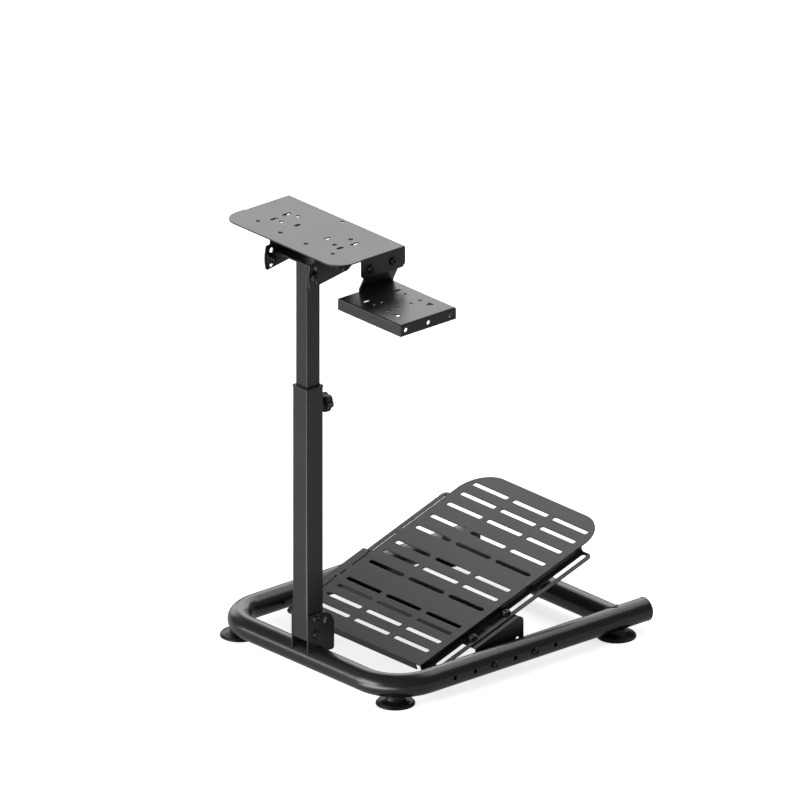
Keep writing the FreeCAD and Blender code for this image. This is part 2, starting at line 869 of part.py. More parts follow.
def tilt_places():
    """The deck's pivot and its lock bolt, as pairs of forward and upward places."""
    return {
        "pivot": (S.tilt_pivot_place, TILT_PIVOT),
        "lock": (S.tilt_pivot_place - S.tilt_slot_radius, TILT_PIVOT),
    }


def mast_yoke():
    """An inverted channel on top of the mast, its two arms longer than its web."""
    body = new_body("mast_yoke")
    t = S.yoke_thickness
    half = S.yoke_half_width
    inside = S.fold_inside
    bend = inside + t
    top = S.inner_top + t
    bottom = top - S.yoke_arm_depth
    section = chain([
        (-half, bottom),
        (-half + t, bottom),
        (-half + t, top - t, inside),
        (half - t, top - t, inside),
        (half - t, bottom),
        (half, bottom),
        (half, top, bend),
        (-half, top, bend),
    ])
    pad(body, "yoke_channel", "XZ", -S.yoke_arm_front, S.yoke_arm_back, [section])
    clear = half - t
    windows = [
        rectangle(-clear, -S.yoke_arm_front - PAST, clear, -S.yoke_web_reach),
        rectangle(-clear, S.yoke_web_reach, clear, S.yoke_arm_back + PAST),
    ]
    pocket(body, "yoke_web_trim", "XY", bottom, top + PAST, windows)
    holes = [circle(y, z, BOLT_HOLE) for y, z in tilt_places().values()]
    pocket(body, "yoke_holes", "YZ", -half - PAST, half + PAST, holes)
    soften(body, "yoke_arm_corners", S.yoke_arm_round, is_yoke_corner)
    place(body, 0, 0, 0)
    keep(body, "mast_yoke")


def is_yoke_corner(edge):
    """Finds the lower corner edges of the yoke's arms, which run along X."""
    box = edge.BoundBox
    low = S.inner_top + S.yoke_thickness - S.yoke_arm_depth
    return abs(box.ZMax - low.value) < NEAR and abs(box.XLength - S.yoke_thickness.value) < NEAR


def deck_side_plates():
    """Plates under the wheel deck that carry the pivot hole and the curved lock slot."""
    inner = S.yoke_half_width + S.tilt_gap
    outer = inner + S.side_plate_thickness
    lug = S.tilt_slot_radius + S.side_lug_margin
    half_slot = BOLT_HOLE
    swing = S.tilt_slot_swing
    for name, side in SIDES:
        body = new_body("deck_side_plate_" + name)
        low, high = (side * inner, side * outer) if side > 0 else (side * outer, side * inner)
        plate = chain([
            (-S.side_plate_front, S.side_plate_rise),
            (-S.side_plate_front, S.side_lug_rise, S.side_corner),
            (-lug + S.side_lug_inset, S.side_lug_rise, S.side_lug_round),
            (-lug - S.side_lug_bulge, 0, lug),
            (-lug + S.side_lug_inset, -S.side_lug_drop, S.side_lug_round),
            (S.side_plate_back - S.side_tail_round, -S.side_tail_drop, S.side_tail_round),
            (S.side_plate_back, S.side_tail_rise, S.side_back_round),
            (S.side_plate_back, S.side_plate_rise),
        ])
        ends = []
        for way in (-1, 1):
            ends.append(circle(-S.tilt_slot_radius * cosine(swing),
                               way * S.tilt_slot_radius * sine(swing), half_slot))
        pad(body, "side_plate_" + name, "YZ", low, high, [plate, circle(0, 0, BOLT_HOLE)] + ends)
        near = -S.tilt_slot_radius + half_slot
        track = rectangle(low - PAST, -S.tilt_slot_radius - half_slot, high + PAST, near)
        revolve(body, "lock_slot_" + name, "XY", "H_Axis", [track], "PartDesign::Groove", swing * 2)
        edge = side * (inner - S.side_plate_flange)
        low, high = (edge, side * inner) if side > 0 else (side * inner, edge)
        pad(body, "side_flange_" + name, "XY", S.side_plate_rise - S.side_plate_thickness,
            S.side_plate_rise,
            [rectangle(low, -S.side_plate_front, high, S.side_plate_back)])
        place(body, 0, *tilt_places()["pivot"])
        keep(body, "deck_side_plate_" + name)


def tilt_bolts():
    """Pivot bolts and lock bolts, one of each through either arm of the yoke."""
    face = S.yoke_half_width + S.tilt_gap + S.side_plate_thickness + S.tilt_gap
    back = S.yoke_half_width - S.yoke_thickness
    for job, centre in tilt_places().items():
        for name, side in SIDES:
            label = "tilt_%s_bolt_%s" % (job, name)
            body = bolt_body(label, "YZ", [centre], side * face, side * back, side)
            place(body, 0, 0, 0)


def wheel_deck():
    """A folded plate with rounded front corners and a bent-down flange on either side."""
    body = new_body("wheel_deck")
    t = S.deck_thickness
    inside = S.fold_inside
    bend = inside + t
    front = chain([
        (-DECK_HALF, -S.deck_flange_start),
        (-DECK_HALF, -S.deck_front, S.deck_front_radius),
        (DECK_HALF, -S.deck_front, S.deck_front_radius),
        (DECK_HALF, -S.deck_flange_start),
    ])
    pad(body, "deck_front_plate", "XY", -t, 0, [front])
    section = chain([
        (-DECK_HALF, -S.deck_flange_depth),
        (-DECK_HALF + t, -S.deck_flange_depth),
        (-DECK_HALF + t, -t, inside),
        (DECK_HALF - t, -t, inside),
        (DECK_HALF - t, -S.deck_flange_depth),
        (DECK_HALF, -S.deck_flange_depth),
        (DECK_HALF, 0, bend),
        (-DECK_HALF, 0, bend),
    ])
    pad(body, "deck_channel", "XZ", -S.deck_flange_start, S.deck_back, [section])
    low = -S.deck_flange_depth
    rise = low + S.deck_flange_chamfer
    corners = []
    for way, edge in ((-1, -S.deck_flange_start), (1, S.deck_back)):
        inner = edge - way * S.deck_flange_chamfer
        outer = edge + way * PAST
        corners.append(chain([
            (outer, low - PAST),
            (inner, low - PAST),
            (inner, low),
            (edge, rise),
            (outer, rise),
        ]))
    pocket(body, "deck_flange_corners", "YZ", -DECK_HALF - PAST, DECK_HALF + PAST, corners)
    pocket(body, "deck_holes", "XY", -t - PAST, PAST, deck_hole_shapes())
    spots = (S.bracket_bolt_front, S.bracket_bolt_back)
    bolts = [circle(y, -S.bracket_bolt_drop, BOLT_HOLE) for y in spots]
    pocket(body, "deck_flange_holes", "YZ", -DECK_HALF - PAST, DECK_HALF + PAST, bolts)
    place(body, 0, 0, DECK_TOP)
    keep(body, "wheel_deck")


def deck_hole_shapes():
    """Holes and slots for a wheel base, the same on both sides of the middle."""
    shapes = [circle(0, S.rear_hole_place, S.rear_hole_diameter / 2)]
    for _, side in SIDES:
        shapes.append(circle(side * S.front_hole_across, -S.front_hole_place, S.front_hole_diameter / 2))
        for y in (S.deck_hole_front, S.deck_hole_back):
            shapes.append(circle(side * S.deck_hole_across, y, S.deck_hole_diameter / 2))
        for across, forwards, length, way in DECK_SLOTS:
            shapes.append(slot(side * across, forwards, length, S.deck_slot_width, way))
    return shapes


def shifter_bracket():
    """A cranked strip from the deck's right flange down and in to the tray's near flange."""
    body = new_body("shifter_bracket")
    t = S.bracket_thickness
    inside = S.fold_inside
    outside = inside + t
    outer = DECK_HALF - S.deck_thickness
    near = TRAY_NEAR
    top = DECK_TOP - S.bracket_top_gap
    upper_bend = DECK_TOP - S.deck_flange_depth - S.bracket_upper_bend
    lower_bend = TRAY_TOP + S.bracket_lower_bend
    bottom = TRAY_TOP - S.tray_depth + S.bracket_bottom_gap
    section = chain([
        (outer, top),
        (outer - t, top),
        (outer - t, upper_bend, inside),
        (near - t, lower_bend, outside),
        (near - t, bottom),
        (near, bottom),
        (near, lower_bend - S.bracket_bend_shift, inside),
        (outer, upper_bend - S.bracket_bend_shift, outside),
    ])
    pad(body, "bracket_strip", "XZ", -S.bracket_front, S.bracket_back, [section])
    spots = (S.bracket_bolt_front, S.bracket_bolt_back)
    holes = [circle(y, DECK_TOP - S.bracket_bolt_drop, BOLT_HOLE) for y in spots]
    holes += [circle(y, TRAY_TOP - S.tray_hole_drop, BOLT_HOLE) for y in spots]
    pocket(body, "bracket_holes", "YZ", near - 2 * t, outer + t, holes)
    place(body, 0, 0, 0)
    keep(body, "shifter_bracket")


def bracket_bolts():
    spots = (S.bracket_bolt_front, S.bracket_bolt_back)
    deck = bolt_body("bracket_deck_bolts", "YZ",
                     [(y, DECK_TOP - S.bracket_bolt_drop) for y in spots],
                     DECK_HALF, DECK_HALF - S.deck_thickness - S.bracket_thickness)
    place(deck, 0, 0, 0)
    tray = bolt_body("bracket_tray_bolts", "YZ",
                     [(y, TRAY_TOP - S.tray_hole_drop) for y in spots],
                     TRAY_NEAR - S.bracket_thickness, TRAY_NEAR + S.tray_thickness, -1)
    place(tray, 0, 0, 0)


def lies_at_height(height):
    """A test for level edges at one height of a body's own frame."""

    def test(edge):
        return abs(edge.BoundBox.ZMin - height) < NEAR and abs(edge.BoundBox.ZMax - height) < NEAR

    return test


def shifter_tray():
    """A shallow pan, open below, with slots, holes and two triangular cut-outs in its top."""
    body = new_body("shifter_tray")
    near = TRAY_NEAR
    far = near + S.tray_width
    t = S.tray_thickness
    pad(body, "tray_block", "XY", -S.tray_depth, 0,
        [rectangle(near, -S.tray_front, far, S.tray_back)])
    soften(body, "tray_outer_folds", S.fold_inside + t, lies_at_height(0))
    hollow = rectangle(near + t, -S.tray_front + t, far - t, S.tray_back - t)
    pocket(body, "tray_hollow", "XY", -S.tray_depth - PAST, -t, [hollow])
    soften(body, "tray_inner_folds", S.fold_inside, lies_at_height(-t.value))
    pocket(body, "tray_holes", "XY", -t - PAST, PAST, tray_hole_shapes())
    spots = (-S.tray_side_hole_front, S.bracket_bolt_front, S.bracket_bolt_back)
    sides = [circle(y, -S.tray_hole_drop, BOLT_HOLE) for y in spots]
    pocket(body, "tray_side_holes", "YZ", near - PAST, far + PAST, sides)
    place(body, 0, 0, TRAY_TOP)
    keep(body, "shifter_tray")


def tray_hole_shapes():
    """The tray's top holes, in four rows across it."""
    shapes = []
    spots = (
        (S.tray_near_hole, S.tray_outer_row),
        (S.tray_near_hole, S.tray_near_row),
        (S.tray_far_hole, S.tray_outer_row),
        (S.tray_far_hole, S.tray_far_row),
    )
    window = TRAY_NEAR + S.tray_window_place
    corner = S.tray_window_round
    for way in (-1, 1):
        row = S.tray_middle + way * S.tray_outer_row
        shapes.append(slot(TRAY_NEAR + S.tray_slot_place, row, S.tray_slot_length, S.tray_slot_width, "y"))
        for across, out in spots:
            shapes.append(circle(TRAY_NEAR + across, S.tray_middle + way * out, S.tray_hole_diameter / 2))
        tip = S.tray_middle + way * S.tray_window_tip
        base = S.tray_middle + way * S.tray_window_base
        shapes.append(chain([
            (window, tip, corner),
            (window + S.tray_window_half, base, corner),
            (window - S.tray_window_half, base, corner),
        ]))
    return shapes


# Pedal deck

def pedal_deck():
    """A folded plate with three columns of slots and a slotted lip along either side."""
    body = new_body("pedal_deck")
    t = S.pedal_thickness
    inside = S.fold_inside
    bend = inside + t
    plate = chain([
        (-PEDAL_HALF, 0),
        (PEDAL_HALF, 0),
        (PEDAL_HALF, S.pedal_length, S.pedal_top_radius),
        (-PEDAL_HALF, S.pedal_length, S.pedal_top_radius),
    ])
    pad(body, "pedal_plate", "XY", -t, 0, [plate])
    pad(body, "pedal_nose", "YZ", -S.pedal_nose_width / 2, S.pedal_nose_width / 2,
        [rectangle(0, -S.pedal_nose_drop, t, 0)])
    for name, side in SIDES:
        edge = side * PEDAL_HALF
        lip = side * LIP_OUTER
        section = chain([
            (edge - side * S.pedal_lip_overlap, 0),
            (edge, 0, bend),
            (edge, LIP_TOP, inside),
            (lip, LIP_TOP),
            (lip, LIP_TOP - t),
            (edge - side * t, LIP_TOP - t, bend),
            (edge - side * t, -t, inside),
            (edge - side * S.pedal_lip_overlap, -t),
        ])
        pad(body, "pedal_lip_" + name, "XZ", 0, S.pedal_lip_end, [section])
    for row, distance in enumerate(PEDAL_ROWS):
        slots = []
        for column in (-1, 0, 1):
            across = column * S.pedal_slot_pitch
            slots.append(slot(across, 0, S.pedal_slot_length, S.pedal_slot_width))
        cut = pocket(body, "pedal_row_%02d" % (row + 1), "XY", -t - PAST, PAST, slots)
        cut.Profile[0].AttachmentOffset.Base.y = distance
        cut.Profile[0].setExpression("AttachmentOffset.Base.y", as_size(distance).text)
    lip_slots = []
    for _, side in SIDES:
        for low, high in LIP_SLOTS:
            middle = (low + high) / 2
            lip_slots.append(slot(side * LIP_BOLT, middle, high - low, S.lip_slot_width, "y"))
    pocket(body, "pedal_lip_slots", "XY", LIP_TOP - t - PAST, LIP_TOP + PAST, lip_slots)
    soften(body, "pedal_lip_corners", S.pedal_lip_round, is_lip_corner)
    on_pedal_frame(body)
    keep(body, "pedal_deck")


def is_lip_corner(edge):
    """Finds the short upright edges at the outer ends of the pedal deck's lips."""
    middle = edge.BoundBox.Center
    upright = abs(edge.BoundBox.ZLength - S.pedal_thickness.value) < NEAR
    return upright and edge.BoundBox.XLength < NEAR and abs(abs(middle.x) - LIP_OUTER.value) < NEAR


def pedal_hangers():
    """Brackets on the side tubes: an upright web and a top flange that the lip slides on."""
    t = S.hanger_thickness
    outer = RAIL - TUBE_RADIUS
    front_up = up_slope_to(S.hanger_front, HANGER_TOP)
    back_up = up_slope_to(S.hanger_back, HANGER_TOP)
    spots = [rail_hole_places()[index] for index in HANGER_HOLES]
    for name, side in SIDES:
        body = new_body("pedal_bracket_" + name)
        web = side * (outer - t)
        wall = side * outer
        low, high = (web, wall) if side > 0 else (wall, web)
        outline = chain([
            (front_up, HANGER_TOP),
            on_slope(S.hanger_front, S.hanger_bottom) + (S.hanger_corner,),
            on_slope(S.hanger_back, S.hanger_bottom) + (S.hanger_corner,),
            (back_up, HANGER_TOP, S.hanger_top_round),
        ])
        holes = [circle(*on_slope(y, TUBE_HEIGHT), BOLT_HOLE) for y in spots]
        see_through = on_slope(S.hanger_hole_place, S.hanger_hole_height)
        holes.append(circle(*see_through, S.hanger_hole_diameter / 2))
        pad(body, "bracket_web_" + name, "YZ", low, high, [outline] + holes)
        inner = side * (PEDAL_HALF + S.hanger_riser_gap)
        low, high = (inner, wall) if side > 0 else (wall, inner)
        flange = rectangle(low, front_up, high, back_up - S.hanger_top_round)
        bolts = [circle(side * LIP_BOLT, up, BOLT_HOLE) for up in (S.lip_bolt_low, S.lip_bolt_high)]
        pad(body, "bracket_flange_" + name, "XY", HANGER_TOP - t, HANGER_TOP, [flange] + bolts)
        on_pedal_frame(body)
        keep(body, "pedal_bracket_" + name)


def pedal_bolts():
    """Bolts through the side tubes and bolts through the pedal deck's lips."""
    tube_face = RAIL + TUBE_RADIUS
    web_face = RAIL - TUBE_RADIUS - S.hanger_thickness
    spots = [rail_hole_places()[index] for index in HANGER_HOLES]
    lip_head = LIP_TOP + S.slide_clearance
    lip_nut = HANGER_TOP - S.hanger_thickness
    for name, side in SIDES:
        rail = bolt_body("rail_bolts_" + name, "YZ", [(y, TUBE_HEIGHT) for y in spots],
                         side * tube_face, side * web_face, side)
        place(rail, 0, 0, 0)
        lip = bolt_body("lip_bolts_" + name, "XY",
                        [(side * LIP_BOLT, up) for up in (S.lip_bolt_low, S.lip_bolt_high)],
                        lip_head, lip_nut)
        on_pedal_frame(lip)


def check_and_export():
    """Stops at any failed object, then writes each piece to its own file."""
    doc.recompute()
    for item in doc.Objects:
        if "Invalid" in item.State or "Error" in item.State:
            raise RuntimeError("%s (%s) is %s" % (item.Name, item.Label, item.State))
    os.makedirs("parts", exist_ok=True)
    for item in PIECES:
        if item.Shape.isNull() or not item.Shape.isValid():
            raise RuntimeError("%s has no valid shape" % item.Label)
    for item in PIECES:
        item.Shape.exportStep("parts/%s.step" % item.Label)


base_tube()
rear_cross_tube()
end_caps()
feet()
mast_ears()
fold_bolts()
lower_mast()
mast_collar()
upper_mast()
clamp()
mast_yoke()
deck_side_plates()
tilt_bolts()
wheel_deck()
shifter_bracket()
bracket_bolts()
shifter_tray()
pedal_deck()
pedal_hangers()
pedal_bolts()
check_and_export()
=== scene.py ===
import json
import math

import bpy
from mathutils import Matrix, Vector


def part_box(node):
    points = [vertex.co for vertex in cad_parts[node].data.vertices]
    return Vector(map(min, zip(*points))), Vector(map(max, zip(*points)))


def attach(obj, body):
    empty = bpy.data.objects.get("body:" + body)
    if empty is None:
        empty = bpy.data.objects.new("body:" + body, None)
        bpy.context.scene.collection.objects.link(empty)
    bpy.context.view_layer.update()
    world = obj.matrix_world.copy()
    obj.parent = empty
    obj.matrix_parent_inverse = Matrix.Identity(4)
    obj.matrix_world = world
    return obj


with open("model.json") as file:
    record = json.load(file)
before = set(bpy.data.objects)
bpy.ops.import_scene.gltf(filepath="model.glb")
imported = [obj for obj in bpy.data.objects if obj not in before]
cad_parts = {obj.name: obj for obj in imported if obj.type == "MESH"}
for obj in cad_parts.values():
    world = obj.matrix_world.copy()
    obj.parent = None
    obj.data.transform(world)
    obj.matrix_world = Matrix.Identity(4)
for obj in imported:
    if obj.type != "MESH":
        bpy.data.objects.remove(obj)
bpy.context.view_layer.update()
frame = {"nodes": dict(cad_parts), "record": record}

# A steel stand: black powder coat on tube, mast and folded sheet, black zinc bolts, moulded
# plastic caps, collar and knob, and rubber feet.

MM = 0.001
NODES = frame["nodes"]
SIDES = (("left", -1), ("right", 1))

# Places of the stand in millimetres, from the mast's axis, the middle plane and the floor
MAST_AXIS = Vector((23.5, 270.3, 0.0))
RAIL = 241.0
TUBE_RADIUS = 22.5
TUBE_HEIGHT = 35.3
CROSS_TUBE = 541.0
EAR_FACE = 23.0
MAST_HALF = 20.0
INNER_HALF = 16.0
KNOB_HEIGHT = 525.3
KNOB_FACE = 49.0
NUT_CORNER = 10.6
COLLAR_TOP = 571.0
YOKE_UNDERSIDE = 821.2
DECK_UNDERSIDE = 868.2
SIDE_PLATE_EDGE = 47.0
SIDE_PLATE_WELDS = ((-34.0, -16.0), (0.0, 18.0), (34.0, 52.0))
FEET = ("foot_front_left", "foot_front_right", "foot_rear_left", "foot_rear_right")

# The pedal deck's slope, and the brackets' flanges and cross plate under it, in millimetres
# up the slope and off the deck's top face
PEDAL_SLOPE = math.radians(18.57)
PEDAL_FRONT = (118.5, 36.5)
FLANGE_INSIDE = 180.0
FLANGE_TOP = -14.3
FLANGE_SHEET = 3.0
PLATE_FRONT = 116.0
PLATE_BACK = 209.0
PLATE_FOLD = 18.0
OUTER_BEND = 4.0
INNER_BEND = 1.0
PLATE_WELD = (132.0, 194.0)

# The bolts' places along their rows, and the faces under their heads and nuts, in millimetres
MAST_BOLTS = (83.0, 114.5)
TILT_BOLTS = (35.0, -38.0)
TILT_HEIGHT = 815.0
TILT_HEAD = 62.8
TILT_NUT = 56.2
LIP_BOLTS = (119.8, 205.2)
LIP_LINE = 190.3
LIP_HEAD = -11.7
LIP_NUT = FLANGE_TOP - FLANGE_SHEET
RAIL_BOLTS = (227.1, 324.7)
RAIL_NUT = 215.5
BRACKET_BOLTS = (11.2, 64.7)
DECK_BOLT_HEIGHT = 849.4
DECK_BOLT_HEAD = 163.8
DECK_BOLT_NUT = 158.3
TRAY_BOLT_HEIGHT = 792.0
TRAY_BOLT_HEAD = 146.1
TRAY_BOLT_NUT = 151.6

# Weld beads in metres, their ripples as shares of their radius, and how far their middle
# lies off the faces that they join, in millimetres
BEAD_RADIUS = 0.0019
SMALL_BEAD = 0.0016
NUT_BEAD = 0.0014
RIPPLE_LENGTH = 0.75
RIPPLE_STEP = 0.72
BEAD_SEAT = 0.5
BEAD_LIFT = 0.6

# The round beads' first and last angle in degrees, and their steps
CROSS_TUBE_ARC = (-60, 240, 50)
EAR_ARC = (152, 20, 24)
NUT_ARC = (0, 354, 59)

# Washers, nuts and threads in metres
WASHER_BORE = 0.0052
WASHER_RADIUS = 0.0092
WASHER_HEIGHT = 0.0011
NUT_HEIGHT = 0.0065
THREAD_RADIUS = 0.00402
THREAD_DEPTH = 0.0005
THREAD_START = 0.0003
THREAD_PITCH = 0.0014
THREAD_TURN = math.radians(430)

# Mouldings: the collar's lip in millimetres, the knob's plug and the feet's lips in metres
LIP_REACH = 2.6
LIP_WIDTH = 2.2
LIP_THICKNESS = 0.8
LIP_EDGE = 0.00025
PLUG_RADIUS = 0.0075
PLUG_HEIGHT = 0.0012
PLUG_RIM = 0.0012
PLUG_RISE = 0.0004
PLUG_DISH_EDGE = 0.003
PLUG_DISH = 0.0003
FOOT_LIP_INNER = 0.0308
FOOT_LIP_OUTER = 0.0340
FOOT_LIP_HEIGHT = 0.0026
FOOT_LIP_PLACE = 0.0033

# What shades smooth, which edges are sharp, which faces lie flat and which points coincide
SMOOTH_ANGLE = math.radians(40)
SHARP_ANGLE = math.radians(60)
FLAT = 0.9
CLOSE = 0.00001

# Softened edges: of a sheet in metres, and of a ring as a share of its height
SHEET_EDGE = 0.0003
RING_EDGE = 0.18

# The coats' grain: the waves under it, the gloss of its tips, and how edges show in the rounding and
# the painted edge highlight
PEEL_SCALE = 0.28
PEEL_HEIGHT = 0.8
SPECKLE_GLOSS = 0.6
EDGE_GAIN = 6.0
EDGE_SAMPLES = 6

# The view: seen from the driver's right, a little above, without perspective
VIEW_TURN = math.radians(48.95)
VIEW_RISE = math.radians(22.44)
VIEW_CENTRE = Vector((-0.0235, -0.0462, 0.4796))
VIEW_WIDTH = 1.468
VIEW_DISTANCE = 6.0
VIEW_END = 60.0

# The floor and the air, as seen straight and as they light the stand, and the floor's painted glow
# that only reflections show
FLOOR_SIZE = 30.0
FLOOR_ROUGHNESS = 0.9
FLOOR_SEEN = 0.85
FLOOR_BOUNCE = 0.45
FLOOR_GLOW = 0.74
MIRRORED_GLOW = (0.24, 0.30)
GLOW_WAY = (-0.7, -0.7, 0.0)
GLOW_REACH = 0.4
AIR_SEEN = 1.0
AIR_LIGHT = 0.24

# Each lamp's name, place, aim, width, height and power
LAMPS = (
    ("back", (-2.3, 2.7, 2.2), (0.0, 0.0, 0.4), 3.4, 2.6, 68.0),
    ("top", (0.2, 2.3, 3.1), (0.0, 0.0, 0.4), 2.4, 1.6, 26.0),
    ("front", (-1.5, -6.3, 1.45), (0.0, 0.0, 0.4), 4.6, 2.8, 330.0),
    ("low", (-4.1, -5.1, 0.48), (0.0, 0.0, 0.4), 2.6, 0.9, 44.0),
    ("left", (-3.4, 0.75, 1.0), (0.0, 0.0, 0.3), 1.6, 1.6, 16.0),
    ("near_card", (0.215, -0.53, 0.003), (0.215, -0.53, 1.0), 0.25, 0.35, 2.3),
    ("middle_card", (0.0, -1.0, 0.003), (0.0, -1.0, 1.0), 0.60, 0.56, 7.0),
    ("far_card", (-0.10, -1.8, 0.003), (-0.10, -1.8, 1.0), 1.00, 0.96, 16.0),
)


def deselect_all():
    """The frame arrives selected, and an operator acts on all that is selected."""
    bpy.ops.object.select_all(action="DESELECT")


# Shared shader effects

def grey(level):
    """A neutral colour from its shade as the eye reads it, from 0 to 255."""
    value = level / 255
    light = value / 12.92 if value <= 0.04045 else ((value + 0.055) / 1.055) ** 2.4
    return (light, light, light, 1.0)


def new_group(name, inputs, outputs):
    """An empty shader group with number inputs, and its two end nodes."""
    tree = bpy.data.node_groups.new(name, "ShaderNodeTree")
    for label, value in inputs:
        socket = tree.interface.new_socket(label, in_out="INPUT", socket_type="NodeSocketFloat")
        socket.default_value = value
    for label, kind in outputs:
        tree.interface.new_socket(label, in_out="OUTPUT", socket_type=kind)
    start = tree.nodes.new("NodeGroupInput")
    end = tree.nodes.new("NodeGroupOutput")
    return tree, start, end


def add_math(tree, operation, first, second, clamp=False):
    """A Math node whose inputs are sockets or plain numbers, and its result."""
    node = tree.nodes.new("ShaderNodeMath")
    node.operation = operation
    node.use_clamp = clamp
    for index, item in enumerate((first, second)):
        if isinstance(item, (int, float)):
            node.inputs[index].default_value = item
        else:
            tree.links.new(item, node.inputs[index])
    return node.outputs[0]


def add_noise(tree, coordinates, scale, detail, roughness):
    """A Noise texture whose scale comes from a socket, and its value."""
    node = tree.nodes.new("ShaderNodeTexNoise")
    node.inputs["Detail"].default_value = detail
    node.inputs["Roughness"].default_value = roughness
    tree.links.new(coordinates, node.inputs["Vector"])
    tree.links.new(scale, node.inputs["Scale"])
    return node.outputs["Fac"]


def build_grain():
    """Fine bumps of a powder coat or a moulded skin over a slow change in colour and gloss."""
    tree, start, end = new_group("Coat Grain", [
        ("Grain Size", 900.0),
        ("Cloud Size", 9.0),
        ("Gloss Middle", 0.45),
        ("Gloss Spread", 0.1),
    ], [
        ("Height", "NodeSocketFloat"),
        ("Cloud", "NodeSocketFloat"),
        ("Roughness", "NodeSocketFloat"),
    ])
    where = tree.nodes.new("ShaderNodeTexCoord").outputs["Object"]
    fine = add_noise(tree, where, start.outputs["Grain Size"], detail=3.0, roughness=0.55)
    peel_scale = add_math(tree, "MULTIPLY", start.outputs["Grain Size"], PEEL_SCALE)
    peel = add_noise(tree, where, peel_scale, detail=1.0, roughness=0.5)
    height = add_math(tree, "ADD", fine, add_math(tree, "MULTIPLY", peel, PEEL_HEIGHT))
    cloud = add_noise(tree, where, start.outputs["Cloud Size"], detail=4.0, roughness=0.6)
    slow = add_math(tree, "SUBTRACT", cloud, 0.5)
    tips = add_math(tree, "SUBTRACT", fine, 0.5)
    speckle = add_math(tree, "MULTIPLY", tips, SPECKLE_GLOSS)
    change = add_math(tree, "ADD", slow, speckle)
    spread = add_math(tree, "MULTIPLY", change, start.outputs["Gloss Spread"])
    gloss = add_math(tree, "ADD", start.outputs["Gloss Middle"], spread, clamp=True)
    tree.links.new(height, end.inputs["Height"])
    tree.links.new(cloud, end.inputs["Cloud"])
    tree.links.new(gloss, end.inputs["Roughness"])
    return tree


def build_edges():
    """Rounds sharp edges in the shading and marks where they are, for the painted edge highlight."""
    tree, start, end = new_group("Soft Edges", [
        ("Width", 0.0006),
    ], [
        ("Normal", "NodeSocketVector"),
        ("Edge", "NodeSocketFloat"),
    ])
    bevel = tree.nodes.new("ShaderNodeBevel")
    bevel.samples = EDGE_SAMPLES
    tree.links.new(start.outputs["Width"], bevel.inputs["Radius"])
    flat = tree.nodes.new("ShaderNodeNewGeometry")
    match = tree.nodes.new("ShaderNodeVectorMath")
    match.operation = "DOT_PRODUCT"
    tree.links.new(bevel.outputs["Normal"], match.inputs[0])
    tree.links.new(flat.outputs["Normal"], match.inputs[1])
    edge = add_math(tree, "SUBTRACT", 1.0, match.outputs["Value"])
    strong = add_math(tree, "MULTIPLY", edge, EDGE_GAIN, clamp=True)
    tree.links.new(bevel.outputs["Normal"], end.inputs["Normal"])
    tree.links.new(strong, end.inputs["Edge"])
    return tree


GRAIN = build_grain()
EDGES = build_edges()


def use_group(material, tree, values):
    """A shared effect in a material, with its inputs set."""
    node = material.node_tree.nodes.new("ShaderNodeGroup")
    node.node_tree = tree
    for name, value in values.items():
        node.inputs[name].default_value = value
    return node


def coated(name, dark, light, gloss, spread, grain, depth, edge, edge_highlight, specular, metal=0.0):
    """A finish with fine grain, a slow change in tone, softened edges and a painted highlight along
    them.
    """
    material = bpy.data.materials.new(name)
    material.use_nodes = True
    nodes = material.node_tree.nodes
    links = material.node_tree.links
    shader = nodes["Principled BSDF"]
    shader.inputs["Specular IOR Level"].default_value = specular
    shader.inputs["Metallic"].default_value = metal
    skin = use_group(material, GRAIN, {
        "Grain Size": grain,
        "Gloss Middle": gloss,
        "Gloss Spread": spread,
    })
    rim = use_group(material, EDGES, {"Width": edge})
    shade = nodes.new("ShaderNodeMix")
    shade.data_type = "RGBA"
    shade.inputs["A"].default_value = grey(dark)
    shade.inputs["B"].default_value = grey(light)
    links.new(skin.outputs["Cloud"], shade.inputs["Factor"])
    # Painted highlight: a lighter grey laid along the edges that the bevel mask finds
    edge_highlit = nodes.new("ShaderNodeMix")
    edge_highlit.data_type = "RGBA"
    edge_highlit.inputs["B"].default_value = grey(edge_highlight)
    links.new(shade.outputs["Result"], edge_highlit.inputs["A"])
    links.new(rim.outputs["Edge"], edge_highlit.inputs["Factor"])
    bump = nodes.new("ShaderNodeBump")
    bump.inputs["Strength"].default_value = 1.0
    bump.inputs["Distance"].default_value = depth
    links.new(skin.outputs["Height"], bump.inputs["Height"])
    links.new(rim.outputs["Normal"], bump.inputs["Normal"])
    links.new(edge_highlit.outputs["Result"], shader.inputs["Base Color"])
    links.new(skin.outputs["Roughness"], shader.inputs["Roughness"])
    links.new(bump.outputs["Normal"], shader.inputs["Normal"])
    return material


